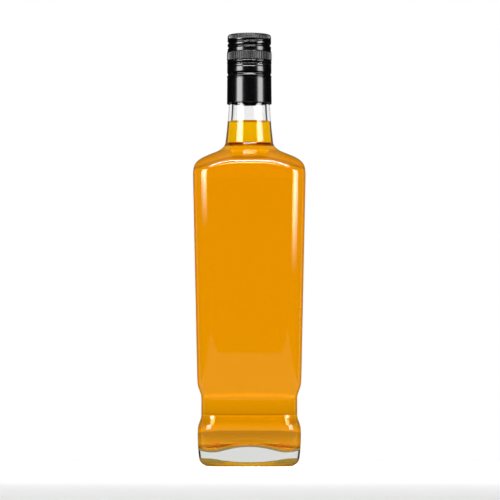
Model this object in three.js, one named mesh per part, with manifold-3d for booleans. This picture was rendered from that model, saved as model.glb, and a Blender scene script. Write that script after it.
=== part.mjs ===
// A square flint-glass spirits bottle of 0.7 litre, filled and closed: the bottle, the liquid in it,
// a rolled aluminium screw cap with its liner, and the long tamper band that stays on the neck.
// Millimetres, +Z up. The origin is the middle of the ring that the bottle stands on.
// The bottle's front faces -Y.

import * as THREE from 'three';
import { mergeVertices } from 'three/addons/utils/BufferGeometryUtils.js';
import Module from 'manifold-3d';

const wasm = await Module();
wasm.setup();

// Glass body
const wall = 2.95;
const cornerRadius = 12;
const standRingInner = 19.5;
const standRingOuter = 25;
const pushUpHeight = 3.5;
const heelHeight = 7;
const heelTuck = 0.75;
const footHalfWidth = 32.75;
const footWidestHeight = 22;
const footHeight = 26;
const waistHalfWidth = 30.45;
const waistBottom = 33;
const waistTop = 43.5;
const waistBend = 4;
const lowerBodyHalfWidth = 33.05;
const lowerBodyHeight = 55;
const upperBodyHalfWidth = 35.8;
const upperBodyHeight = 184;
const shoulderHalfWidth = 21.1;
const shoulderRise = 17.9;
const shoulderHeight = upperBodyHeight + shoulderRise;
const shoulderBend = 9;
const shoulderFlatness = 12;
const neckBottomRadius = 15.3;
const neckFillet = 6.3;
const neckBottomHeight = shoulderHeight + neckFillet;
const neckBend = 2;
const neckMiddleRadius = 13.35;
const neckTopRadius = 12.7;

// Floor inside the bottle, a dome
const floorApexHeight = 18.3;
const floorDomeRadius = 75;

// Glass finish at the mouth, with its heights counted down from the rim
const neckLength = 66.8;
const rimHeight = neckBottomHeight + neckLength;
const lipRadius = 12.6;
const rimRounding = 0.8;
const bandRadius = 13.45;
const bandTop = rimHeight - 10.7;
const bandLength = 11.3;
const bandBottom = bandTop - bandLength;
const retainingGrooveRadius = 12.3;
const retainingGrooveLength = 2.4;
const retainingGrooveBottom = bandBottom - retainingGrooveLength;
const neckBeadLength = 3.8;
const neckBeadBottom = retainingGrooveBottom - neckBeadLength;
const neckMiddleHeight = neckBottomHeight + 0.54 * (neckBeadBottom - neckBottomHeight);
const edgeSlope = 0.5;
const threadPitch = 3.175;
const threadRidgeRadius = 13.2;
const threadRidgeSize = 0.9;
const threadRidgeHeight = rimHeight - 6;
const threadRidgeFrom = -380;
const threadRidgeTo = 230;

// Liquid
const headspace = 54.2;
const liquidLevel = rimHeight - headspace;
const liquidGap = 0.3;

// Liner
const linerThickness = 1.65;
const linerGap = 0.3;
const linerOverhang = 0.1;

// Aluminium cap and tamper band, with their heights counted down from the top of the cap
const sheet = 0.35;
const closureTop = rimHeight + linerGap + linerThickness + linerGap + sheet;
const closureLength = 44.7;
const closureRadius = 14.25;
const threadZoneRadius = 14;
const threadZoneLength = 10.9;
const threadZoneBottom = closureTop - threadZoneLength;
const topEdgeRounding = 1.6;
const rolledGrooveSize = 0.75;
const rolledGrooveOut = 0.05;
const rolledGrooveFrom = -370;
const rolledGrooveTo = 345;
const knurlTop = threadZoneBottom - 0.7;
const knurlLength = 5.2;
const knurlBottom = knurlTop - knurlLength;
const knurlOut = 0.18;
const knurlDepth = 0.22;
const knurlRibs = 60;
const capBeadHeight = knurlBottom - 1.2;
const capBeadHalfLength = 0.6;
const capBeadOut = 0.15;
const capBottom = knurlBottom - 2.3;
const slit = 0.5;
const bridgeCount = 10;
const bridgeWidth = 1.2;
const bridgeGap = 0.3;
const scoreLineDrop = 1.6;
const scoreLineDepth = 0.18;
const tuckDepth = 0.6;
const tuckHalfHeight = 0.6;
const bandRidgeHeight = retainingGrooveBottom - 0.3;
const bandRidgeOut = 0.15;
const bandHemOut = 0.13;
const bandBottomHeight = closureTop - closureLength;

// Fineness
const bodySegments = 40;
const capSegments = 40;
const cornerCrowding = 0.5;
const innerRingSpacing = 2;
const threadStepsPerTurn = 30;

const glass = new THREE.MeshStandardMaterial({ color: '#dfe6e6', roughness: 0.03, metalness: 0 });
const whisky = new THREE.MeshStandardMaterial({ color: '#e8900a', roughness: 0.05, metalness: 0 });
const blackLacquer = new THREE.MeshStandardMaterial({ color: '#17161a', roughness: 0.32, metalness: 0.2 });
const linerFoam = new THREE.MeshStandardMaterial({ color: '#eceae4', roughness: 0.7, metalness: 0 });

const smoothstep = THREE.MathUtils.smoothstep;
const lerp = THREE.MathUtils.lerp;

// A profile point: half the width across the flats, the height, and the radius of the corners.
function ring(halfWidth, height, corner) {
  const point = new THREE.Vector2(halfWidth, height);
  point.corner = corner;
  return point;
}

// How far a square with round corners reaches in one direction. With a corner as large as the
// half width it is a circle.
function squareReach(halfWidth, corner, angle) {
  const along = Math.max(Math.abs(Math.cos(angle)), Math.abs(Math.sin(angle)));
  const across = Math.min(Math.abs(Math.cos(angle)), Math.abs(Math.sin(angle)));
  const flat = halfWidth - corner;
  if (halfWidth * across <= flat * along) return halfWidth / along;
  const sum = flat * (along + across);
  return sum + Math.sqrt(Math.max(sum * sum - 2 * flat * flat + corner * corner, 0));
}

// A turned body whose rings are squares with round corners. Its columns are closer at the corners.
function squareLathe(rings, segments, heightAt = (point) => point.y) {
  const geometry = new THREE.LatheGeometry(rings, segments);
  const position = geometry.attributes.position;
  for (let i = 0; i < position.count; i += 1) {
    const point = rings[i % rings.length];
    const turn = (Math.floor(i / rings.length) % segments) * 2 * Math.PI / segments;
    const angle = turn + cornerCrowding * Math.sin(4 * turn) / 4;
    const reach = squareReach(point.x, point.corner, angle);
    position.setXYZ(i, reach * Math.cos(angle), reach * Math.sin(angle), heightAt(point, reach));
  }
  return closed(geometry);
}

function roundLathe(points, segments) {
  return closed(new THREE.LatheGeometry(points, segments).rotateX(Math.PI / 2));
}

// Shared vertices merged and the flat triangles at the poles dropped.
function closed(geometry) {
  geometry.deleteAttribute('normal');
  geometry.deleteAttribute('uv');
  const merged = mergeVertices(geometry, 1e-4);
  const index = merged.index.array;
  const kept = [];
  for (let i = 0; i < index.length; i += 3) {
    const [a, b, c] = [index[i], index[i + 1], index[i + 2]];
    if (a !== b && b !== c && c !== a) kept.push(a, b, c);
  }
  merged.setIndex(kept);
  return merged;
}

// The liquid's rings run in the cavity's order, so that both are split into the same facets.
function turnedInsideOut(geometry) {
  geometry.index.array.reverse();
  return geometry;
}

function toSolid(geometry) {
  return new wasm.Manifold(new wasm.Mesh({
    numProp: 3,
    vertProperties: new Float32Array(geometry.attributes.position.array),
    triVerts: new Uint32Array(geometry.index.array),
  }));
}

function toGeometry(solid) {
  const mesh = solid.getMesh();
  const geometry = new THREE.BufferGeometry();
  geometry.setAttribute('position', new THREE.BufferAttribute(mesh.vertProperties, 3));
  geometry.setIndex(new THREE.BufferAttribute(mesh.triVerts, 1));
  return geometry;
}

// A right-hand helix whose ends run out: there its radius changes by runOut.
class Helix extends THREE.Curve {
  constructor({ radius, heightAtX, from, to, runOut }) {
    super();
    Object.assign(this, { radius, heightAtX, from, to, runOut });
  }

  getPoint(t, target = new THREE.Vector3()) {
    const degrees = lerp(this.from, this.to, t);
    const angle = THREE.MathUtils.degToRad(degrees);
    const nearEnd = Math.min(degrees - this.from, this.to - degrees);
    const radius = this.radius + this.runOut * (1 - smoothstep(nearEnd, 0, 40));
    const height = this.heightAtX + threadPitch * degrees / 360;
    return target.set(radius * Math.cos(angle), radius * Math.sin(angle), height);
  }
}

function helixRod(path, size) {
  const section = new THREE.Shape().absarc(0, 0, size, 0, 2 * Math.PI);
  const steps = Math.ceil((path.to - path.from) / 360 * threadStepsPerTurn);
  return toSolid(closed(new THREE.ExtrudeGeometry(section, {
    steps, curveSegments: 4, bevelEnabled: false, extrudePath: path,
  })));
}

// The section is round under the heel and at the neck, and square with round corners between.
function cornerAt(halfWidth, height) {
  if (height < shoulderHeight / 2) {
    return lerp(halfWidth, cornerRadius, smoothstep(height, 0, heelHeight / 2));
  }
  const roundFrom = upperBodyHeight + 3;
  const roundAt = shoulderHeight + 1;
  return lerp(cornerRadius, halfWidth, smoothstep(height, roundFrom, roundAt));
}

// The outside of the body from the ring it stands on to the top of the neck.
function bodyOutline() {
  const outline = new THREE.Path();
  outline.moveTo(standRingOuter, 0);
  const heelHalfWidth = footHalfWidth - heelTuck;
  outline.bezierCurveTo(
    heelHalfWidth - 2 * heelTuck, 0,
    heelHalfWidth - heelTuck / 3, heelHeight / 2,
    heelHalfWidth, heelHeight,
  );
  outline.quadraticCurveTo(
    footHalfWidth, (heelHeight + footWidestHeight) / 2,
    footHalfWidth, footWidestHeight,
  );
  outline.bezierCurveTo(
    footHalfWidth, footHeight + waistBend / 2,
    waistHalfWidth, waistBottom - waistBend,
    waistHalfWidth, waistBottom,
  );
  outline.lineTo(waistHalfWidth, waistTop);
  const bodyLean = (upperBodyHalfWidth - lowerBodyHalfWidth) / (upperBodyHeight - lowerBodyHeight);
  outline.bezierCurveTo(
    waistHalfWidth, waistTop + waistBend,
    lowerBodyHalfWidth - 1.5 * waistBend * bodyLean, lowerBodyHeight - 1.5 * waistBend,
    lowerBodyHalfWidth, lowerBodyHeight,
  );
  outline.lineTo(upperBodyHalfWidth, upperBodyHeight);
  outline.bezierCurveTo(
    upperBodyHalfWidth + shoulderBend * bodyLean, upperBodyHeight + shoulderBend,
    shoulderHalfWidth + shoulderFlatness, shoulderHeight - shoulderFlatness / 2,
    shoulderHalfWidth, shoulderHeight,
  );
  outline.bezierCurveTo(
    shoulderHalfWidth - 2 * neckBend, shoulderHeight + neckBend,
    neckBottomRadius, neckBottomHeight - neckBend,
    neckBottomRadius, neckBottomHeight,
  );
  outline.quadraticCurveTo(
    lerp(neckBottomRadius, neckMiddleRadius, 0.6), lerp(neckBottomHeight, neckMiddleHeight, 0.5),
    neckMiddleRadius, neckMiddleHeight,
  );
  outline.lineTo(neckTopRadius, neckBeadBottom - edgeSlope);
  return outline.getPoints(4).map((p) => ring(p.x, p.y, cornerAt(p.x, p.y)));
}

// The inside wall: the outside moved in by the wall along its normal, from lowest up to the bore.
// It skips rings that would crowd where the outside bends sharply, so the inside is smoother.
function innerWall(outside, lowest) {
  const inside = [];
  let height = lowest;
  for (let i = 1; i < outside.length - 1; i += 1) {
    const along = outside[i + 1].clone().sub(outside[i - 1]).normalize();
    const halfWidth = outside[i].x - wall * along.y;
    const corner = Math.min(outside[i].corner - wall * along.y, halfWidth);
    const movedHeight = outside[i].y + wall * along.x;
    if (movedHeight > height + innerRingSpacing) {
      height = movedHeight;
      inside.push(ring(halfWidth, height, corner));
    }
  }
  inside.push(ring(neckTopRadius - wall, neckBeadBottom, neckTopRadius - wall));
  return inside;
}

function floorHeight(reach) {
  return floorApexHeight - floorDomeRadius + Math.sqrt(floorDomeRadius ** 2 - reach ** 2);
}

// The rings of the inside floor from the wall to the middle. lift raises each above the dome.
function floorRings(edge) {
  const steps = [[1, 4.5], [0.985, 1.9], [0.94, 0.5], [0.86, 0], [0.6, 0], [0.3, 0], [0, 0]];
  return steps.map(([share, lift]) => {
    const halfWidth = edge.x * share;
    const point = ring(halfWidth, lift, halfWidth - share ** 2 * (edge.x - edge.corner));
    point.onFloor = true;
    return point;
  });
}

function cavityHeight(point, reach) {
  return point.onFloor ? floorHeight(reach) + point.y : point.y;
}

// The wall above the floor's edge, from low to high, with the floor rings that close it below.
function cavity(outside) {
  const upright = innerWall(outside, floorApexHeight);
  const edge = upright[0];
  return { upright, floor: floorRings(edge) };
}

function finishOutline() {
  const round = (radius, height) => ring(radius, height, radius);
  return [
    round(bandRadius, neckBeadBottom + edgeSlope),
    round(bandRadius, retainingGrooveBottom - edgeSlope),
    round(retainingGrooveRadius, retainingGrooveBottom + edgeSlope),
    round(retainingGrooveRadius, bandBottom - edgeSlope),
    round(bandRadius, bandBottom + edgeSlope),
    round(bandRadius, bandTop - edgeSlope),
    round(lipRadius, bandTop + edgeSlope),
    round(lipRadius, rimHeight - rimRounding),
    round(lipRadius - rimRounding * 0.3, rimHeight - rimRounding * 0.3),
    round(lipRadius - rimRounding, rimHeight),
  ];
}

function bottle() {
  const outside = bodyOutline();
  const { upright, floor } = cavity(outside);
  const boreRadius = upright[upright.length - 1].x;
  const base = [
    ring(0, pushUpHeight, 0),
    ring(standRingInner * 0.6, pushUpHeight * 0.75, standRingInner * 0.6),
    ring(standRingInner, 0, standRingInner),
  ];
  const bore = [
    ring(boreRadius + rimRounding, rimHeight, boreRadius + rimRounding),
    ring(boreRadius, rimHeight - rimRounding, boreRadius),
  ];
  const rings = [...base, ...outside, ...finishOutline(), ...bore, ...upright.reverse(), ...floor];
  const body = toSolid(squareLathe(rings, bodySegments, cavityHeight));
  const ridge = helixRod(new Helix({
    radius: threadRidgeRadius - threadRidgeSize,
    heightAtX: threadRidgeHeight,
    from: threadRidgeFrom,
    to: threadRidgeTo,
    runOut: -threadRidgeSize,
  }), threadRidgeSize);
  return toGeometry(body.add(ridge));
}

// The liquid fills the cavity up to its level, a small gap clear of the glass.
function liquid() {
  const { upright, floor } = cavity(bodyOutline());
  const below = upright.filter((p) => p.y < liquidLevel - 1);
  const above = upright.find((p) => p.y > liquidLevel);
  const last = below[below.length - 1];
  const share = (liquidLevel - last.y) / (above.y - last.y);
  const surfaceRadius = lerp(last.x, above.x, share);
  const rings = [
    ring(0, liquidLevel, 0),
    ring(surfaceRadius, liquidLevel, surfaceRadius),
    ...below.reverse(),
    ...floor,
  ].map((p) => {
    const inner = ring(Math.max(p.x - liquidGap, 0), p.y, Math.max(p.corner - liquidGap, 0));
    inner.onFloor = p.onFloor;
    return inner;
  });
  return turnedInsideOut(squareLathe(rings, bodySegments, (point, reach) => (
    cavityHeight(point, reach) + (point.onFloor ? liquidGap : 0)
  )));
}

function knurlRing() {
  const root = closureRadius - sheet / 2;
  const crest = closureRadius + knurlOut;
  const chamfer = knurlOut + sheet / 2;
  const profile = [
    [root, knurlBottom], [crest, knurlBottom + chamfer], [crest, knurlTop - chamfer],
    [root, knurlTop], [root, knurlBottom],
  ].map(([x, y]) => new THREE.Vector2(x, y));
  const geometry = new THREE.LatheGeometry(profile, 2 * knurlRibs);
  const position = geometry.attributes.position;
  for (let i = 0; i < position.count; i += 1) {
    const column = Math.floor(i / profile.length);
    const onCrest = profile[i % profile.length].x === crest;
    const scale = onCrest && column % 2 === 1 ? (crest - knurlDepth) / crest : 1;
    position.setXYZ(i, position.getX(i) * scale, position.getY(i), position.getZ(i) * scale);
  }
  return toSolid(closed(geometry.rotateX(Math.PI / 2)));
}

// The cap: a drawn cup of sheet with a knurled ring, a bead and a rolled thread.
function capShell() {
  const shell = new THREE.Path();
  const inTop = closureTop - sheet;
  const outCorner = threadZoneRadius - topEdgeRounding;
  const inRounding = topEdgeRounding - sheet;
  shell.moveTo(0, inTop);
  shell.lineTo(outCorner, inTop);
  shell.absarc(outCorner, inTop - inRounding, inRounding, Math.PI / 2, 0, true);
  shell.lineTo(threadZoneRadius - sheet, threadZoneBottom);
  shell.lineTo(closureRadius - sheet, knurlTop);
  shell.lineTo(closureRadius - sheet, capBottom);
  shell.lineTo(closureRadius, capBottom);
  shell.lineTo(closureRadius, capBeadHeight - capBeadHalfLength);
  shell.lineTo(closureRadius + capBeadOut, capBeadHeight);
  shell.lineTo(closureRadius, capBeadHeight + capBeadHalfLength);
  shell.lineTo(closureRadius, knurlTop);
  shell.lineTo(threadZoneRadius, threadZoneBottom);
  shell.lineTo(threadZoneRadius, closureTop - topEdgeRounding);
  shell.absarc(outCorner, closureTop - topEdgeRounding, topEdgeRounding, 0, Math.PI / 2, false);
  shell.lineTo(0, closureTop);
  const cup = toSolid(roundLathe(shell.getPoints(1), capSegments));

  const groove = new Helix({
    radius: threadZoneRadius + rolledGrooveOut,
    heightAtX: threadRidgeHeight + threadPitch / 2,
    from: rolledGrooveFrom,
    to: rolledGrooveTo,
    runOut: rolledGrooveSize,
  });
  const core = new THREE.CylinderGeometry(
    threadZoneRadius - sheet / 2, threadZoneRadius - sheet / 2, closureTop - threadZoneBottom, capSegments,
  );
  core.rotateX(Math.PI / 2).translate(0, 0, (closureTop + threadZoneBottom) / 2 - topEdgeRounding);
  const bulge = helixRod(groove, rolledGrooveSize + sheet).intersect(toSolid(closed(core)));
  const rolled = cup.add(bulge).subtract(helixRod(groove, rolledGrooveSize));
  return toGeometry(rolled.add(knurlRing()));
}

// The tamper band: a sleeve whose rolled groove sits in the glass's retaining groove.
function tamperBand() {
  const top = capBottom - slit;
  const inside = closureRadius - sheet;
  const tuckHeight = (bandBottom + retainingGrooveBottom) / 2;
  const hem = closureRadius + bandHemOut;
  const profile = [
    [inside, top],
    [inside, tuckHeight + 1.5 * tuckHalfHeight],
    [inside - tuckDepth, tuckHeight + 0.4 * tuckHalfHeight],
    [inside - tuckDepth, tuckHeight - 0.4 * tuckHalfHeight],
    [inside, tuckHeight - 1.5 * tuckHalfHeight],
    [inside, bandBottomHeight],
    [hem, bandBottomHeight],
    [closureRadius, bandRidgeHeight - 1.8],
    [closureRadius - bandRidgeOut, bandRidgeHeight - 1],
    [closureRadius + bandRidgeOut, bandRidgeHeight - 0.3],
    [closureRadius + bandRidgeOut, bandRidgeHeight + 0.2],
    [closureRadius - tuckDepth, tuckHeight - 0.2 * tuckHalfHeight],
    [closureRadius - tuckDepth, tuckHeight + 0.2 * tuckHalfHeight],
    [closureRadius, tuckHeight + 1.3 * tuckHalfHeight],
    [closureRadius, top - scoreLineDrop - 0.3],
    [closureRadius - scoreLineDepth, top - scoreLineDrop],
    [closureRadius, top - scoreLineDrop + 0.3],
    [closureRadius, top],
    [inside, top],
  ].map(([x, y]) => new THREE.Vector2(x, y));
  let sleeve = toSolid(roundLathe(profile, capSegments));
  const height = slit - bridgeGap;
  for (let i = 0; i < bridgeCount; i += 1) {
    const bridge = new THREE.BoxGeometry(sheet * 0.6, bridgeWidth, height * 2);
    bridge.translate(closureRadius - sheet / 2, 0, top);
    bridge.rotateZ(2 * Math.PI * i / bridgeCount);
    sleeve = sleeve.add(toSolid(closed(bridge)));
  }
  return toGeometry(sleeve);
}

function capLiner() {
  const radius = lipRadius + linerOverhang;
  const disc = new THREE.CylinderGeometry(radius, radius, linerThickness, capSegments);
  disc.rotateX(Math.PI / 2).translate(0, 0, rimHeight + linerGap + linerThickness / 2);
  return closed(disc);
}

function piece(name, geometry, material) {
  geometry.computeVertexNormals();
  const mesh = new THREE.Mesh(geometry, material);
  mesh.name = name;
  return mesh;
}

const group = new THREE.Group();
group.add(
  piece('bottle', bottle(), glass),
  piece('liquid', liquid(), whisky),
  piece('cap_shell', capShell(), blackLacquer),
  piece('cap_liner', capLiner(), linerFoam),
  piece('tamper_band', tamperBand(), blackLacquer),
);

export default group;
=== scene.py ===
# A full square spirits bottle of clear glass with a black aluminium screw cap.
import math

import bmesh
import bpy
from bpy.props import FloatProperty, FloatVectorProperty, IntProperty, PointerProperty
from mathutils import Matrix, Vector
from mathutils.geometry import interpolate_bezier


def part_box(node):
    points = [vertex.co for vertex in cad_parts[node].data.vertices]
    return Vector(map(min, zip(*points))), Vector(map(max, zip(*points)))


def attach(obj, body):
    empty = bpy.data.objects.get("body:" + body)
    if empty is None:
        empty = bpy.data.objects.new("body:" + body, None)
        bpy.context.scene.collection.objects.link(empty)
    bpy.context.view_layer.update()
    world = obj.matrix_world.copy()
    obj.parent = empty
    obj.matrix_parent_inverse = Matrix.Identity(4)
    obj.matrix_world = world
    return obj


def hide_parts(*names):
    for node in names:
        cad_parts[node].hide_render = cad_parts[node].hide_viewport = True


bl_info = {
    "name": "Spirits bottle",
    "version": (1, 0, 0),
    "blender": (4, 5, 0),
    "location": "3D View > Sidebar > Bottle",
    "description": "Builds a filled square glass bottle with its screw cap and tamper band",
    "category": "Object",
}

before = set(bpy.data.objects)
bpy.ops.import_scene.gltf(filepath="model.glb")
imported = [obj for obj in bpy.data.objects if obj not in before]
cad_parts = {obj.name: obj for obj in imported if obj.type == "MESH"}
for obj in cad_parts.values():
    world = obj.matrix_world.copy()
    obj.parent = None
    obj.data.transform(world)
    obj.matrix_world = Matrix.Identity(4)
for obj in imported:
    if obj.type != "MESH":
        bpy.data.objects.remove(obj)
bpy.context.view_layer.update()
MM = 0.001
GLASS_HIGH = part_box("bottle")[1]
LIQUID_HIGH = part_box("liquid")[1]
CAP_LOW, CAP_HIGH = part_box("cap_shell")
BAND_LOW, BAND_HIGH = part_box("tamper_band")
LINER_LOW, LINER_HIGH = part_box("cap_liner")

# Glass, in mm: where the section has turned square above the stand ring, where the foot is
# widest, over which heights the heel's extra glass fades, the neck's radius at its top, and the
# small bars under the stand ring with the height of that ring's edge.
SQUARE_BY = 3.5
WIDEST_FOOT = 22
HEEL_FADE = (14, 31)
NECK_TOP = 12.7
BARS, BAR_HEIGHT = 48, 0.35
STAND_EDGE = 0.3
# The spirit reaches this far into the glass, so that no air shows between them.
OVERLAP = 0.08
# Cap thread: its first and last degree, the degrees over which it runs out, its height at
# nought degrees and its half width in mm.
THREAD_TURN = (-370, 345)
RUN_OUT = 40
THREAD_HEIGHT = 270.59
THREAD_REACH = 0.85
# Knurl, in mm: its bottom and top above the cap's lower edge, and how far it stands out.
KNURL_SPAN = (2.3, 7.5)
KNURL_OUT = 0.13
# Below the cap's top, in mm: where its flutes start, are whole, begin to fade and end.
FLUTE_DROPS = (3.4, 2.7, 1.1, 0.5)
# Within this radius in mm the cap's top is flat.
FLAT_TOP = 11


def linear(colour):
    """An sRGB hex value as linear red, green, blue and alpha."""
    parts = [int(colour[i:i + 2], 16) / 255 for i in (1, 3, 5)]
    return [c / 12.92 if c <= 0.04045 else ((c + 0.055) / 1.055) ** 2.4 for c in parts] + [1.0]


def millimetres(name, description, value):
    return FloatProperty(name=name, description=description, default=value, min=0.0, precision=3)


def whole_number(name, description, value, least):
    return IntProperty(name=name, description=description, default=value, min=least)


class GlassSizes(bpy.types.PropertyGroup):
    wall: millimetres("Wall", "Thickness of the glass in mm", 2.95)
    corner: millimetres("Corner radius", "Radius of the body's upright edges in mm", 12.0)
    foot_half: millimetres("Foot half width", "Half the width of the foot in mm", 32.75)
    waist_half: millimetres("Waist half width", "Half the width at the waist in mm", 30.45)
    waist_low: millimetres("Waist bottom", "Height where the waist begins in mm", 33.0)
    waist_high: millimetres("Waist top", "Height where the waist ends in mm", 43.5)
    lower_half: millimetres("Lower body half width", "Half the width above the waist in mm", 33.05)
    lower_height: millimetres("Lower body height", "Height where the body's taper begins in mm", 55.0)
    upper_half: millimetres("Upper body half width", "Half the greatest width in mm", GLASS_HIGH.x / MM)
    upper_height: millimetres("Upper body height", "Height where the shoulder begins in mm", 184.0)
    shoulder_half: millimetres(
        "Shoulder half width", "Half the width where the shoulder ends in mm", 21.1,
    )
    shoulder_height: millimetres("Shoulder height", "Height where the shoulder ends in mm", 201.9)
    neck_radius: millimetres("Neck bottom radius", "Radius at the foot of the neck in mm", 15.3)
    neck_height: millimetres("Neck bottom height", "Height of the foot of the neck in mm", 208.2)
    rim_height: millimetres("Rim height", "Height of the mouth in mm", GLASS_HIGH.z / MM)
    floor_apex: millimetres("Floor height", "Height of the middle of the inside floor in mm", 18.3)
    floor_radius: millimetres("Floor dome radius", "Radius of the domed inside floor in mm", 75.0)
    heel_tuck: millimetres("Heel tuck", "How far the heel lies inside the foot in mm", 0.75)
    heel_height: millimetres("Heel height", "Height of the rounded heel in mm", 7.0)
    heel_extra: millimetres("Heel glass", "Extra thickness of the glass at the heel in mm", 2.5)
    push_up: millimetres("Push-up", "Height of the hollow under the bottle in mm", 3.5)
    stand_inner: millimetres("Stand ring inside", "Inner radius of the ring it stands on in mm", 19.5)
    stand_outer: millimetres("Stand ring outside", "Outer radius of the ring it stands on in mm", 25.0)


class ClosureSizes(bpy.types.PropertyGroup):
    ribs: whole_number("Knurl ribs", "Ribs round the cap's knurled band", 60, 12)
    flutes: whole_number("Edge flutes", "Small flutes round the cap's top edge", 72, 12)
    bridges: whole_number("Bridges", "Bridges between the cap and its tamper band", 10, 4)
    rib_depth: millimetres("Rib depth", "Depth of the grooves between the knurl's ribs in mm", 0.45)
    flute_depth: millimetres("Flute depth", "Depth of the flutes in mm", 0.35)
    skirt: millimetres("Skirt radius", "Outer radius of the cap's skirt and of its band in mm", 14.25)
    thread_radius: millimetres("Thread radius", "Outer radius of the threaded zone in mm", 14.0)
    edge_rounding: millimetres("Edge rounding", "Radius of the cap's top edge in mm", 1.6)
    pitch: millimetres("Thread pitch", "Rise of the rolled thread in one turn in mm", 3.175)
    groove_depth: millimetres("Thread depth", "Depth of the rolled thread in mm", 0.72)
    sheet: millimetres("Sheet", "Thickness of the aluminium in mm", 0.35)


class Finishes(bpy.types.PropertyGroup):
    lacquer: FloatVectorProperty(
        name="Lacquer", description="Colour of the cap's black lacquer", subtype="COLOR",
        default=linear("#030304")[:3], min=0.0, max=1.0,
    )
    foam: FloatVectorProperty(
        name="Liner foam", description="Colour of the liner disc", subtype="COLOR",
        default=linear("#e9e7e1")[:3], min=0.0, max=1.0,
    )


def add_node(tree, kind, links=None, **settings):
    """One node with its settings. A name in links or settings is a property or an input socket."""
    made = tree.nodes.new(kind)
    for key, value in settings.items():
        if hasattr(made, key):
            setattr(made, key, value)
        else:
            made.inputs[key.replace("_", " ")].default_value = value
    for key, source in (links or {}).items():
        tree.links.new(source, made.inputs[key])
    return made


def new_material(name):
    material = bpy.data.materials.new(name)
    material.use_nodes = True
    material.node_tree.nodes.clear()
    return material, material.node_tree


def finish_material(tree, surface, volume=None):
    out = add_node(tree, "ShaderNodeOutputMaterial", {"Surface": surface})
    if volume is not None:
        tree.links.new(volume, out.inputs["Volume"])


def flint_glass():
    """Flint glass, pressed and blown in a mould and fire-polished: clear, with the faint waves of
    the mould in its skin, which make the highlights swim a little."""
    material, tree = new_material("flint_glass_fire_polished")
    place = add_node(tree, "ShaderNodeTexCoord").outputs["Object"]
    stretch = add_node(tree, "ShaderNodeMapping", {"Vector": place}, Scale=(1.0, 1.0, 0.45))
    waves = add_node(
        tree, "ShaderNodeTexNoise", {"Vector": stretch.outputs[0]},
        Scale=1 / (22 * MM), Detail=1.5, Roughness=0.4,
    )
    skin = add_node(
        tree, "ShaderNodeBump", {"Height": waves.outputs["Fac"]},
        Strength=0.35, Distance=0.12 * MM,
    )
    glass = add_node(tree, "ShaderNodeBsdfPrincipled", {"Normal": skin.outputs[0]})
    glass.inputs["Base Color"].default_value = linear("#ffffff")
    glass.inputs["Roughness"].default_value = 0.0
    glass.inputs["IOR"].default_value = 1.5
    glass.inputs["Transmission Weight"].default_value = 1.0
    density = add_node(tree, "ShaderNodeVolumeAbsorption", Density=18.0)
    density.inputs["Color"].default_value = linear("#e0e2df")
    finish_material(tree, glass.outputs[0], density.outputs[0])
    return material


def amber_spirit():
    """Amber spirit: a clear liquid. Its blue is gone within millimetres and its green fades with
    depth, so the neck looks yellower than the body."""
    material, tree = new_material("amber_spirit_clear")
    liquid = add_node(tree, "ShaderNodeBsdfPrincipled")
    liquid.inputs["Base Color"].default_value = linear("#ffcb00")
    liquid.inputs["Roughness"].default_value = 0.0
    liquid.inputs["IOR"].default_value = 1.36
    liquid.inputs["Transmission Weight"].default_value = 1.0
    depth = add_node(tree, "ShaderNodeVolumeAbsorption", Density=100.0)
    depth.inputs["Color"].default_value = linear("#fff659")
    finish_material(tree, liquid.outputs[0], depth.outputs[0])
    return material


def black_lacquer(colour):
    """Aluminium sheet, lacquered black before it is drawn and rolled: a satin skin with a thin
    gloss, faint drawing lines and a fine orange peel that breaks up its highlights. The lines are
    0.45 mm apart, coarser than real ones, so that they show."""
    material, tree = new_material("aluminium_black_lacquer")
    place = add_node(tree, "ShaderNodeTexCoord").outputs["Object"]
    peel = add_node(
        tree, "ShaderNodeTexNoise", {"Vector": place}, Scale=1 / (0.9 * MM), Detail=2.0,
    )
    drawn = add_node(tree, "ShaderNodeMapping", {"Vector": place}, Scale=(1.0, 1.0, 0.05))
    lines = add_node(
        tree, "ShaderNodeTexNoise", {"Vector": drawn.outputs[0]}, Scale=1 / (0.45 * MM), Detail=1.0,
    )
    shine = add_node(
        tree, "ShaderNodeMapRange", {"Value": lines.outputs["Fac"]}, To_Min=0.17, To_Max=0.21,
    )
    skin = add_node(
        tree, "ShaderNodeBump", {"Height": peel.outputs["Fac"]}, Strength=0.25, Distance=0.02 * MM,
    )
    lacquer = add_node(
        tree, "ShaderNodeBsdfPrincipled",
        {"Roughness": shine.outputs["Result"], "Normal": skin.outputs[0]},
    )
    lacquer.inputs["Base Color"].default_value = (*colour, 1.0)
    lacquer.inputs["IOR"].default_value = 1.5
    lacquer.inputs["Coat Weight"].default_value = 0.35
    lacquer.inputs["Coat Roughness"].default_value = 0.16
    finish_material(tree, lacquer.outputs[0])
    return material


def liner_foam(colour):
    """Expanded polyethylene foam, die cut from sheet: matt white with a fine cell pattern."""
    material, tree = new_material("polyethylene_foam_die_cut")
    place = add_node(tree, "ShaderNodeTexCoord").outputs["Object"]
    cells = add_node(tree, "ShaderNodeTexVoronoi", {"Vector": place}, Scale=1 / (0.5 * MM))
    skin = add_node(
        tree, "ShaderNodeBump", {"Height": cells.outputs["Distance"]}, Strength=0.3, Distance=0.05 * MM,
    )
    foam = add_node(tree, "ShaderNodeBsdfPrincipled", {"Normal": skin.outputs[0]})
    foam.inputs["Base Color"].default_value = (*colour, 1.0)
    foam.inputs["Roughness"].default_value = 0.7
    finish_material(tree, foam.outputs[0])
    return material


def deselect_everything():
    if bpy.context.object is not None and bpy.context.object.mode != "OBJECT":
        bpy.ops.object.mode_set(mode="OBJECT")
    bpy.ops.object.select_all(action="DESELECT")


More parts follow.
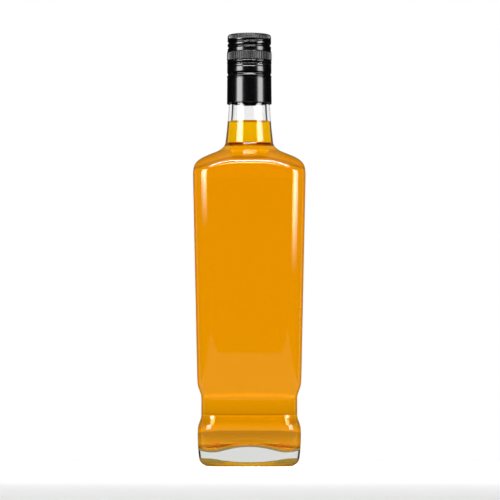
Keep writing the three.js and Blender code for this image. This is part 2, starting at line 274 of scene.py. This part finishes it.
def square_reach(half, corner, angle):
    """How far a square with round corners reaches in one direction. It is a circle where the
    corner is as large as the half width."""
    along = max(abs(math.cos(angle)), abs(math.sin(angle)))
    across = min(abs(math.cos(angle)), abs(math.sin(angle)))
    flat = half - corner
    if half * across <= flat * along:
        return half / along
    total = flat * (along + across)
    return total + math.sqrt(max(total * total - 2 * flat * flat + corner * corner, 0.0))


def crowded(turn):
    """A column's angle. Columns lie closer together at the corners."""
    return turn + 0.5 * math.sin(4 * turn) / 4


def plain(turn):
    return turn


def stack_rings(name, rings, columns, place, angle_of=crowded):
    """A skin extruded ring by ring from a circle. place(ring, angle, turn) gives radius and height
    in mm. The rings change from square to round, which no transform operator does, so each new
    ring is put in place by that formula."""
    deselect_everything()
    bpy.ops.mesh.primitive_circle_add(vertices=columns, radius=1.0, fill_type="NOTHING")
    skin = bpy.context.object
    skin.name = skin.data.name = name
    bpy.ops.object.mode_set(mode="EDIT")
    bpy.ops.mesh.select_mode(type="EDGE")
    bmesh.from_edit_mesh(skin.data).verts.layers.float.new("turn")
    for number, ring in enumerate(rings):
        if number:
            bpy.ops.mesh.extrude_edges_move()
        mesh = bmesh.from_edit_mesh(skin.data)
        layer = mesh.verts.layers.float["turn"]
        mesh.verts.ensure_lookup_table()
        for v in mesh.verts[-columns:]:
            if not v.select:
                raise RuntimeError(f"{name}: ring {number} isn't the one just extruded")
            if not number:
                v[layer] = math.atan2(v.co.y, v.co.x) % (2 * math.pi)
            angle = angle_of(v[layer])
            radius, height = place(ring, angle, v[layer])
            v.co = Vector((radius * math.cos(angle), radius * math.sin(angle), height)) * MM
        bmesh.update_edit_mesh(skin.data)
    return skin


def close_skin(skin, smooth_angle=None, levels=0):
    """Merges the poles and seams, turns the faces outwards and smooths the skin."""
    bpy.ops.mesh.select_all(action="SELECT")
    bpy.ops.mesh.remove_doubles(threshold=0.002 * MM)
    bpy.ops.mesh.dissolve_degenerate(threshold=0.0005 * MM)
    bpy.ops.mesh.select_all(action="SELECT")
    bpy.ops.mesh.normals_make_consistent(inside=False)
    bpy.ops.object.mode_set(mode="OBJECT")
    if levels:
        bpy.ops.object.modifier_add(type="SUBSURF")
        smoother = skin.modifiers[-1]
        smoother.levels = smoother.render_levels = levels
        bpy.ops.object.modifier_apply(modifier=smoother.name)
    if smooth_angle is None:
        bpy.ops.object.shade_smooth()
    else:
        bpy.ops.object.shade_smooth_by_angle(angle=math.radians(smooth_angle))
    bpy.ops.object.select_all(action="DESELECT")


def dress(piece, material, body, slot, *nodes):
    piece.data.materials.clear()
    piece.data.materials.append(material)
    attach(piece, body)
    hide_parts(*nodes)


def smoothstep(value, low, high):
    share = min(max((value - low) / (high - low), 0.0), 1.0)
    return share * share * (3 - 2 * share)


def blend_numbers(low, high, share):
    return low + (high - low) * share


def wave(angle, count, sharpness=1):
    """Goes from nought to one and back this many times round the axis."""
    return (0.5 - 0.5 * math.cos(count * angle)) ** sharpness


def curve(start, handle_a, handle_b, end, count):
    """Points of a bezier curve in the half width and height plane, without its first."""
    corners = [Vector((*point, 0)) for point in (start, handle_a, handle_b, end)]
    return [(p.x, p.y) for p in interpolate_bezier(*corners, count + 1)[1:]]


def corner_at(s, half, height):
    """Round under the heel and at the neck, square with round corners between."""
    if height < s.shoulder_height / 2:
        return blend_numbers(half, s.corner, smoothstep(height, 0, SQUARE_BY))
    square_until, round_by = s.upper_height + 3, s.shoulder_height + 1
    return blend_numbers(s.corner, half, smoothstep(height, square_until, round_by))


def glass_outside(s):
    """Half widths and heights of the outside from the ring it stands on to the neck's top. The
    curves' handles are fitted to the bottle's outline in the photo."""
    heel_half = s.foot_half - s.heel_tuck
    lean = (s.upper_half - s.lower_half) / (s.upper_height - s.lower_height)
    bend = 4.0
    points = [(s.stand_outer, 0.0)]
    points += curve(
        points[-1], (heel_half - 1.5, 0), (heel_half - 0.25, s.heel_height / 2),
        (heel_half, s.heel_height), 7,
    )
    points += curve(
        points[-1], (s.foot_half - 0.1, WIDEST_FOOT - 10), (s.foot_half, WIDEST_FOOT - 5),
        (s.foot_half, WIDEST_FOOT), 4,
    )
    points += curve(
        points[-1], (s.foot_half, WIDEST_FOOT + 6), (s.waist_half, s.waist_low - bend),
        (s.waist_half, s.waist_low), 9,
    )
    points += [(s.waist_half, blend_numbers(s.waist_low, s.waist_high, t / 3)) for t in (1, 2, 3)]
    points += curve(
        points[-1], (s.waist_half, s.waist_high + bend),
        (s.lower_half - 6 * lean, s.lower_height - 6), (s.lower_half, s.lower_height), 9,
    )
    for step in range(1, 13):
        share = step / 12
        points.append((
            blend_numbers(s.lower_half, s.upper_half, share),
            blend_numbers(s.lower_height, s.upper_height, share),
        ))
    points += curve(
        points[-1], (s.upper_half + 11 * lean, s.upper_height + 11),
        (s.shoulder_half + 12.5, s.shoulder_height - 5), (s.shoulder_half, s.shoulder_height), 14,
    )
    points += curve(
        points[-1], (s.shoulder_half - 4, s.shoulder_height + 2),
        (s.neck_radius, s.neck_height - 2), (s.neck_radius, s.neck_height), 7,
    )
    middle = (13.35, 229.0)
    points += curve(points[-1], (14.5, 214), (13.8, 222), middle, 5)
    points += [(13.0, 238.0), (NECK_TOP, 246.1)]
    return points


def glass_finish(s):
    """The bead, the retaining groove, the wide band and the lip, counted down from the rim."""
    rim = s.rim_height
    band, groove, lip = 13.45, 12.3, 12.6
    return [
        (13.0, rim - 28.4), (band, rim - 27.6), (band, rim - 25.2), (13.0, rim - 24.5),
        (groove, rim - 24.1), (groove, rim - 22.5), (13.0, rim - 21.9), (band, rim - 21.2),
        (band, rim - 16.0), (band, rim - 11.4), (13.1, rim - 10.8), (lip, rim - 10.2),
        (lip, rim - 5.0), (lip, rim - 1.0), (lip - 0.25, rim - 0.3), (lip - 0.9, rim),
    ]


def glass_inside(s, outside):
    """The outside moved in by the wall along its normal, from the floor up to the bore."""
    points = []
    height = s.floor_apex
    for before, here, after in zip(outside, outside[1:], outside[2:]):
        along = Vector((after[0] - before[0], after[1] - before[1])).normalized()
        moved = here[1] + s.wall * along.x
        if moved > height + 1.0:
            height = moved
            wall = s.wall * along.y + s.heel_extra * (1 - smoothstep(moved, *HEEL_FADE))
            half = here[0] - wall
            corner = corner_at(s, *here) - s.wall * along.y
            points.append((half, moved, min(corner, half)))
    bore = NECK_TOP - s.wall
    points += [(bore, z, bore) for z in (246.5, 256.0, 266.0)]
    return points


def floor_height(s, reach):
    return s.floor_apex - s.floor_radius + math.sqrt(s.floor_radius ** 2 - reach ** 2)


def floor_rings(edge):
    """The inside floor from the wall to the middle: half width, lift above the dome, corner."""
    half, _, corner = edge
    shares = [(0.998, 4.6), (0.992, 3.2), (0.98, 2.0), (0.962, 1.1), (0.935, 0.45), (0.9, 0.12)]
    shares += [(t, 0.0) for t in (0.85, 0.75, 0.62, 0.48, 0.32, 0.16, 0.0)]
    return [(half * t, lift, half * t - t * t * (half - corner), "floor") for t, lift in shares]


def place_glass(s):
    """Puts a ring's columns in place: plain rings, the domed floor, and the bars it stands on."""
    def place(ring, angle, turn):
        reach = square_reach(ring[0], ring[2], angle)
        if len(ring) == 3:
            return reach, ring[1]
        if ring[3] == "bars":
            return reach, ring[1] * wave(turn, BARS)
        return reach, floor_height(s, reach) + ring[1]
    return place


class BuildGlass(bpy.types.Operator):
    """Model the blown glass bottle with its hollow, its finish and its domed floor"""

    bl_idname = "bottle.build_glass"
    bl_label = "Glass bottle"

    def execute(self, context):
        s = context.scene.bottle_glass
        outside = glass_outside(s)
        inside = glass_inside(s, outside)
        base = [(0.0, s.push_up, 0.0)]
        for radius in (4.0, 8.0, 12.0, 15.0, 17.5):
            base.append((radius, s.push_up * (1 - (radius / s.stand_inner) ** 3), radius))
        base += [(r, BAR_HEIGHT, r, "bars") for r in (s.stand_inner, 20.2, 21.5, 23.0, 24.3)]
        rings = base + [(s.stand_outer, STAND_EDGE, s.stand_outer)]
        rings += [(h, z, corner_at(s, h, z)) for h, z in outside[1:]]
        rings += [(r, z, r) for r, z in glass_finish(s)]
        rings += [(r, s.rim_height - drop, r) for r, drop in ((10.6, 0), (9.95, 0.35), (9.75, 1.1))]
        rings += inside[::-1] + floor_rings(inside[0])
        skin = stack_rings("glass_bottle", rings, 144, place_glass(s))
        close_skin(skin, levels=1)
        dress(skin, flint_glass(), "bottle", "flint_glass", "bottle")
        return {"FINISHED"}


class BuildSpirit(bpy.types.Operator):
    """Fill the bottle with amber spirit up to its level, with a small meniscus at the glass"""

    bl_idname = "bottle.build_spirit"
    bl_label = "Spirit"

    def execute(self, context):
        s = context.scene.bottle_glass
        inside = glass_inside(s, glass_outside(s))
        level = LIQUID_HIGH.z / MM
        wet = [(h + OVERLAP, z, c + OVERLAP) for h, z, c in inside if z < level - 2.5]
        low, high = wet[-1], next(r for r in inside if r[1] > level)
        top = blend_numbers(low[0], high[0] + OVERLAP, (level - low[1]) / (high[1] - low[1]))
        rings = [
            (h + OVERLAP * min(1.0, h), lift - OVERLAP, c + OVERLAP * min(1.0, h), tag)
            for h, lift, c, tag in floor_rings(inside[0])
        ][::-1]
        rings += wet + [(top, level - 1.2, top)]
        bowl = [top * t for t in (1.0, 0.985, 0.96, 0.92, 0.87, 0.8, 0.72, 0.6, 0.45, 0.3, 0.15, 0.0)]
        rings += [(r, level - 0.7 + 1.4 * (r / top) ** 4, r) for r in bowl]
        skin = stack_rings("spirit", rings, 96, place_glass(s))
        close_skin(skin, levels=1)
        dress(skin, amber_spirit(), "bottle", "amber_spirit", "liquid")
        return {"FINISHED"}


def rolled_thread(s, angle, height):
    """Depth of the rolled thread groove at one place on the cap, in mm. It runs out at both ends."""
    first, last = THREAD_TURN
    deepest = 0.0
    for turn in range(-2, 2):
        degrees = math.degrees(angle) + 360 * turn
        if not first <= degrees <= last:
            continue
        run_out = smoothstep(min(degrees - first, last - degrees), 0, RUN_OUT)
        away = abs(height - THREAD_HEIGHT - s.pitch * degrees / 360)
        deepest = max(deepest, run_out * max(0.0, 1 - (away / THREAD_REACH) ** 2))
    return s.groove_depth * deepest


class BuildCap(bpy.types.Operator):
    """Model the screw cap of drawn sheet with its fluted edge, rolled thread, knurl and bead"""

    bl_idname = "bottle.build_cap"
    bl_label = "Screw cap"

    def execute(self, context):
        s = context.scene.bottle_closure
        top, low = CAP_HIGH.z / MM, CAP_LOW.z / MM
        skirt, edge, sheet = s.skirt, s.edge_rounding, s.sheet
        edge_middle = s.thread_radius - edge
        knurl_low, knurl_high = low + KNURL_SPAN[0], low + KNURL_SPAN[1]
        knurl = skirt + KNURL_OUT
        flutes_start, flutes_whole, flutes_fade, flutes_end = (top - drop for drop in FLUTE_DROPS)
        edge_angles = [math.radians(90 - 15 * step) for step in range(1, 7)]
        thread_heights = [top - edge - 0.3 * step for step in range(1, 31)]
        outer = [(radius, top) for radius in (0.0, 4.0, 8.0, 11.2, 12.3)]
        outer += [
            (edge_middle + edge * math.cos(a), top - edge + edge * math.sin(a)) for a in edge_angles
        ]
        outer += [(s.thread_radius, height) for height in thread_heights]
        outer += [(skirt - 0.05, knurl_high + 0.35), (skirt - 0.05, knurl_high + 0.1)]
        outer += [(skirt + 0.05, knurl_high - 0.05), (knurl, knurl_high - 0.35)]
        outer += [(knurl, blend_numbers(knurl_high - 0.6, knurl_low + 0.6, i / 4)) for i in range(5)]
        outer += [(knurl, knurl_low + 0.35), (skirt + 0.05, knurl_low + 0.05)]
        outer += [(skirt - 0.12, knurl_low - 0.15), (skirt - 0.12, knurl_low - 0.45)]
        outer += [(skirt + 0.05, knurl_low - 0.75), (skirt + 0.15, knurl_low - 1.05)]
        outer += [(skirt + 0.15, knurl_low - 1.35)]
        outer += [(skirt, knurl_low - 1.7), (skirt, low + 0.1), (skirt - 0.06, low)]
        inner = [(skirt - 0.29, low), (skirt - sheet, low + 0.1), (skirt - sheet, knurl_high)]
        inner += [(s.thread_radius - sheet, height) for height in thread_heights[::-1]]
        inside_edge = edge - sheet
        inner += [
            (edge_middle + inside_edge * math.cos(a), top - edge + inside_edge * math.sin(a))
            for a in edge_angles[::-1]
        ]
        inner += [(radius, top - sheet) for radius in (12.0, 6.0, 0.0)]

        def place(ring, angle, turn):
            radius, height = ring
            if radius < FLAT_TOP:
                return radius, height
            radius -= rolled_thread(s, angle, height)
            if knurl_low + 0.3 < height < knurl_high - 0.3 and radius > skirt:
                radius -= s.rib_depth * wave(angle, s.ribs, sharpness=2.5)
            if flutes_start < height < flutes_end and radius > 13.0:
                fade = smoothstep(height, flutes_start, flutes_whole)
                fade *= 1 - smoothstep(height, flutes_fade, flutes_end)
                radius -= s.flute_depth * fade * wave(angle, s.flutes, sharpness=2)
            return radius, height

        skin = stack_rings("screw_cap", outer + inner, 720, place, plain)
        close_skin(skin, smooth_angle=50)
        lacquer = black_lacquer(context.scene.bottle_finishes.lacquer)
        dress(skin, lacquer, "cap", "black_lacquered_aluminium", "cap_shell")
        return {"FINISHED"}


class BuildBand(bpy.types.Operator):
    """Model the tamper band with its score line, the groove rolled into the glass and its nibs"""

    bl_idname = "bottle.build_band"
    bl_label = "Tamper band"

    def execute(self, context):
        s = context.scene.bottle_closure
        top, low = BAND_HIGH.z / MM - 0.2, BAND_LOW.z / MM
        # The height of the groove that is rolled into the retaining groove of the glass.
        skirt, tuck = s.skirt, 251.8
        outer = [
            (skirt - 0.06, top), (skirt, top - 0.1), (skirt, top - 1.2), (skirt - 0.02, top - 1.35),
            (skirt - 0.17, top - 1.5), (skirt - 0.17, top - 1.7), (skirt - 0.02, top - 1.85),
            (skirt, top - 2.0), (skirt, top - 4.0), (skirt, tuck + 1.1),
            (skirt - 0.08, tuck + 0.8), (skirt - 0.42, tuck + 0.4), (skirt - 0.58, tuck + 0.05),
            (skirt - 0.5, tuck - 0.3), (skirt - 0.1, tuck - 0.8), (skirt + 0.12, tuck - 1.2),
            (skirt + 0.15, tuck - 1.55), (skirt + 0.05, tuck - 1.95), (skirt - 0.14, tuck - 2.3),
            (skirt - 0.14, tuck - 2.6), (skirt, tuck - 3.0), (skirt, tuck - 3.6),
            (skirt + 0.02, 244.0), (skirt + 0.05, 240.0), (skirt + 0.09, 236.0),
            (skirt + 0.12, low + 0.5), (skirt + 0.13, low + 0.1), (skirt + 0.08, low),
        ]
        inner = [(r - s.sheet + 0.02, z) for r, z in outer[::-1][1:]]
        inner[0] = (skirt - 0.2, low)
        skin = stack_rings(
            "tamper_sleeve", outer + inner + [outer[0]], 240, lambda ring, angle, turn: ring, plain
        )
        close_skin(skin, smooth_angle=50)
        width, height, thick = 1.3, 0.28, 0.22
        nibs = []
        for number in range(s.bridges):
            angle = 2 * math.pi * number / s.bridges
            deselect_everything()
            middle = Vector((math.cos(angle), math.sin(angle), 0)) * (skirt - s.sheet / 2) * MM
            bpy.ops.mesh.primitive_cube_add(
                size=1.0, location=middle + Vector((0, 0, (top + height / 2 - 0.1) * MM)),
                rotation=(0, 0, angle), scale=(thick * MM, width * MM, height * MM),
            )
            nib = bpy.context.object
            bpy.ops.object.transform_apply(location=True, rotation=True, scale=True)
            bpy.ops.object.mode_set(mode="EDIT")
            bpy.ops.mesh.select_all(action="SELECT")
            bpy.ops.mesh.bevel(offset=0.04 * MM, segments=2)
            bpy.ops.object.mode_set(mode="OBJECT")
            nibs.append(nib)
        deselect_everything()
        for nib in nibs:
            nib.select_set(True)
        skin.select_set(True)
        context.view_layer.objects.active = skin
        bpy.ops.object.join()
        lacquer = bpy.data.materials["aluminium_black_lacquer"]
        dress(skin, lacquer, "bottle", "black_lacquered_aluminium", "tamper_band")
        return {"FINISHED"}


class BuildLiner(bpy.types.Operator):
    """Model the foam liner disc with the soft ring that the glass rim presses into it"""

    bl_idname = "bottle.build_liner"
    bl_label = "Liner"

    def execute(self, context):
        low, high, radius = LINER_LOW.z / MM, LINER_HIGH.z / MM, LINER_HIGH.x / MM
        rings = [
            (0.0, low), (6.0, low), (9.6, low), (10.0, low + 0.12), (11.4, low + 0.14),
            (12.2, low + 0.05), (radius - 0.2, low), (radius, low + 0.2),
            (radius, high - 0.2), (radius - 0.2, high), (6.0, high), (0.0, high),
        ]
        skin = stack_rings("liner_disc", rings, 96, lambda ring, angle, turn: ring, plain)
        close_skin(skin, smooth_angle=60)
        foam = liner_foam(context.scene.bottle_finishes.foam)
        dress(skin, foam, "liner", "liner_foam", "cap_liner")
        return {"FINISHED"}


# The photo: its side, the bottle's scale, the camera's focal length, the row the bottle stands on
# and the column of its axis, all in pixels. The height of the camera is in metres.
PHOTO_SIDE = 500
PIXELS_PER_MM = 1.56
FOCAL_PIXELS = 3512
BASE_ROW, AXIS_COLUMN = 466.5, 249.3
CAMERA_HEIGHT = 9 * MM
SENSOR = 36.0
# The stage in metres: the floor's side, the backdrop's distance behind the axis, and the side
# panels' height and distance from the axis.
FLOOR_SIDE = 6.0
BACKDROP_Y = 0.9
PANEL_TALL = 0.55
PANEL_AWAY = 0.9


def split_rays(tree, kind, others, seen):
    """Shows the last shader to rays of one kind and the one before it to all others."""
    ray = add_node(tree, "ShaderNodeLightPath").outputs[kind]
    links = {0: ray, 1: others.outputs[0], 2: seen.outputs[0]}
    return add_node(tree, "ShaderNodeMixShader", links)


def softbox(name, place, target, size, strength, soft):
    """A panel of light whose brightness fades towards its edges."""
    deselect_everything()
    turn = (Vector(target) - Vector(place)).to_track_quat("Z", "Y").to_euler()
    bpy.ops.mesh.primitive_plane_add(size=1.0, location=place, rotation=turn)
    panel = bpy.context.object
    panel.name = name
    panel.scale = (*size, 1.0)
    panel.visible_camera = False
    material, tree = new_material(name)
    where = add_node(tree, "ShaderNodeTexCoord").outputs["Object"]
    sides = add_node(tree, "ShaderNodeSeparateXYZ", {0: where})
    shares = []
    for axis, edge in zip("XY", soft):
        away = add_node(tree, "ShaderNodeMath", {0: sides.outputs[axis]}, operation="ABSOLUTE")
        shares.append(add_node(
            tree, "ShaderNodeMapRange", {"Value": away.outputs[0]}, interpolation_type="SMOOTHSTEP",
            From_Min=0.5, From_Max=0.5 - edge, To_Min=0.0, To_Max=1.0,
        ).outputs["Result"])
    both = add_node(tree, "ShaderNodeMath", {0: shares[0], 1: shares[1]}, operation="MULTIPLY")
    level = add_node(tree, "ShaderNodeMath", {0: both.outputs[0]}, operation="MULTIPLY")
    level.inputs[1].default_value = strength
    glow = add_node(tree, "ShaderNodeEmission", {"Strength": level.outputs[0]})
    finish_material(tree, glow.outputs[0])
    panel.data.materials.append(material)


def white_floor():
    """A matt white floor that ends at the backdrop. Its glow makes it white to the camera. Seen through
    glass it glows white from 0.2 to 0.45 m behind the bottle and darker on both sides, which is painted
    shade. In reflections it glows nearly black, which is a painted dark reflection."""
    deselect_everything()
    middle = (0, BACKDROP_Y - FLOOR_SIDE / 2, 0)
    bpy.ops.mesh.primitive_plane_add(size=FLOOR_SIDE, location=middle)
    floor = bpy.context.object
    floor.name = "floor"
    material, tree = new_material("floor_white_painted_shade")
    matt = add_node(tree, "ShaderNodeBsdfDiffuse")
    matt.inputs["Color"].default_value = linear("#f2f2f2")
    glow = add_node(tree, "ShaderNodeEmission", Strength=0.7)
    seen = add_node(tree, "ShaderNodeAddShader", {0: matt.outputs[0], 1: glow.outputs[0]})
    to_camera = split_rays(tree, "Is Camera Ray", matt, seen)
    # Painted dark reflection: rays from mirrors see the floor nearly black.
    dark = add_node(tree, "ShaderNodeEmission", Strength=0.01)
    in_mirrors = split_rays(tree, "Is Glossy Ray", to_camera, dark)
    # Painted shade: seen through glass, the floor glows darker near the camera and far behind the
    # bottle.
    where = add_node(tree, "ShaderNodeNewGeometry").outputs["Position"]
    back = add_node(tree, "ShaderNodeSeparateXYZ", {0: where}).outputs["Y"]
    painted_shade = add_node(tree, "ShaderNodeValToRGB", {"Fac": back})
    for place, level in ((0.05, 0.5), (0.2, 1.0), (0.45, 1.0), (0.65, 0.6)):
        stop = painted_shade.color_ramp.elements.new(place)
        stop.color = (level, level, level, 1.0)
    painted_shade.color_ramp.elements[0].color = (0.5, 0.5, 0.5, 1.0)
    painted_shade.color_ramp.elements[-1].color = (0.55, 0.55, 0.55, 1.0)
    through = add_node(tree, "ShaderNodeEmission", {"Strength": painted_shade.outputs["Color"]})
    both = split_rays(tree, "Is Transmission Ray", in_mirrors, through)
    finish_material(tree, both.outputs[0])
    floor.data.materials.append(material)


def white_backdrop():
    """The white that is seen through the glass. It glows less bright towards its foot, which is painted
    shade, and nearly black in reflections, which is a painted dark reflection. The camera itself sees
    the world's white in its place."""
    deselect_everything()
    upright = (math.pi / 2, 0, 0)
    bpy.ops.mesh.primitive_plane_add(size=1.0, location=(0, BACKDROP_Y, 1.5), rotation=upright)
    backdrop = bpy.context.object
    backdrop.name = "backdrop"
    backdrop.visible_camera = False
    backdrop.scale = (1.6, 3.0, 1.0)
    material, tree = new_material("backdrop_white_painted_shade")
    matt = add_node(tree, "ShaderNodeBsdfDiffuse")
    matt.inputs["Color"].default_value = linear("#f2f2f2")
    # Painted shade: the backdrop glows darker towards its foot.
    where = add_node(tree, "ShaderNodeNewGeometry").outputs["Position"]
    height = add_node(tree, "ShaderNodeSeparateXYZ", {0: where}).outputs["Z"]
    painted_shade = add_node(
        tree, "ShaderNodeMapRange", {"Value": height}, interpolation_type="SMOOTHSTEP",
        From_Min=0.01, From_Max=0.07, To_Min=0.6, To_Max=1.0,
    )
    through = add_node(tree, "ShaderNodeEmission", {"Strength": painted_shade.outputs["Result"]})
    # Painted dark reflection: rays from mirrors see the backdrop nearly black.
    dark = add_node(tree, "ShaderNodeEmission", Strength=0.02)
    in_mirrors = split_rays(tree, "Is Glossy Ray", matt, dark)
    both = split_rays(tree, "Is Transmission Ray", in_mirrors, through)
    finish_material(tree, both.outputs[0])
    backdrop.data.materials.append(material)


def white_world(scene):
    """A world that is white to the camera and nearly dark to all other rays."""
    world = bpy.data.worlds.new("soft_room")
    scene.world = world
    world.use_nodes = True
    tree = world.node_tree
    tree.nodes.clear()
    room = add_node(tree, "ShaderNodeBackground", Strength=0.005)
    white = add_node(tree, "ShaderNodeBackground", Strength=1.0)
    for background in (room, white):
        background.inputs["Color"].default_value = (1, 1, 1, 1)
    mixed = split_rays(tree, "Is Camera Ray", room, white)
    add_node(tree, "ShaderNodeOutputWorld", {"Surface": mixed.outputs[0]})


def soft_lights():
    """A tall panel on each side, for the cap's upright highlights, and one overhead."""
    for name, azimuth, width, low, strength in (
        ("softbox_left", -52, 0.60, 0.16, 11.0), ("softbox_right", 59, 0.56, 0.12, 9.5),
    ):
        turn, middle = math.radians(azimuth), low + PANEL_TALL / 2
        place = (PANEL_AWAY * math.sin(turn), -PANEL_AWAY * math.cos(turn), middle)
        softbox(name, place, (0, 0, middle), (width, PANEL_TALL), strength, (0.2, 0.15))
    softbox("overhead", (0, -0.45, 0.95), (0, 0, 0.15), (0.9, 0.17), 40.0, (0.15, 0.3))


def front_camera(scene):
    """A camera that frames the bottle as the photo does."""
    camera_data = bpy.data.cameras.new("camera")
    camera_data.sensor_width = SENSOR
    camera_data.lens = SENSOR * FOCAL_PIXELS / PHOTO_SIDE
    camera_data.clip_end = 50.0
    camera = bpy.data.objects.new("camera", camera_data)
    scene.collection.objects.link(camera)
    away = FOCAL_PIXELS / PIXELS_PER_MM * MM
    aim_height = (BASE_ROW - PHOTO_SIDE / 2) / PIXELS_PER_MM * MM
    side = (PHOTO_SIDE / 2 - AXIS_COLUMN) / PIXELS_PER_MM * MM
    camera.location = (side, -away, CAMERA_HEIGHT)
    aim = Vector((side, 0, aim_height)) - camera.location
    camera.rotation_euler = aim.to_track_quat("-Z", "Y").to_euler()
    scene.camera = camera


class BuildStage(bpy.types.Operator):
    """Set the floor, the backdrop, the soft lights and the camera"""

    bl_idname = "bottle.build_stage"
    bl_label = "Stage"

    def execute(self, context):
        scene = context.scene
        white_floor()
        white_backdrop()
        white_world(scene)
        soft_lights()
        front_camera(scene)
        scene.view_settings.view_transform = "Standard"
        scene.cycles.max_bounces = 24
        scene.cycles.transmission_bounces = 24
        scene.cycles.glossy_bounces = 8
        scene.cycles.transparent_max_bounces = 16
        return {"FINISHED"}


class BottlePanel(bpy.types.Panel):
    """Lists the sizes, the colours and the operators that build the bottle"""

    bl_idname = "BOTTLE_PT_build"
    bl_label = "Spirits bottle"
    bl_space_type = "VIEW_3D"
    bl_region_type = "UI"
    bl_category = "Bottle"

    def draw(self, context):
        for name, group in GROUPS.items():
            box = self.layout.box()
            for field in group.__annotations__:
                box.prop(getattr(context.scene, name), field)
        for operator in OPERATORS:
            self.layout.operator(operator.bl_idname)


OPERATORS = (BuildGlass, BuildSpirit, BuildCap, BuildBand, BuildLiner, BuildStage)
GROUPS = {"bottle_glass": GlassSizes, "bottle_closure": ClosureSizes, "bottle_finishes": Finishes}


def register():
    for name, group in GROUPS.items():
        bpy.utils.register_class(group)
        setattr(bpy.types.Scene, name, PointerProperty(type=group))
    for kind in (*OPERATORS, BottlePanel):
        bpy.utils.register_class(kind)


def unregister():
    for kind in (BottlePanel, *reversed(OPERATORS)):
        bpy.utils.unregister_class(kind)
    for name, group in GROUPS.items():
        delattr(bpy.types.Scene, name)
        bpy.utils.unregister_class(group)


def main():
    register()
    bpy.ops.bottle.build_glass()
    bpy.ops.bottle.build_spirit()
    bpy.ops.bottle.build_cap()
    bpy.ops.bottle.build_band()
    bpy.ops.bottle.build_liner()
    bpy.ops.bottle.build_stage()


if __name__ == "__main__":
    main()
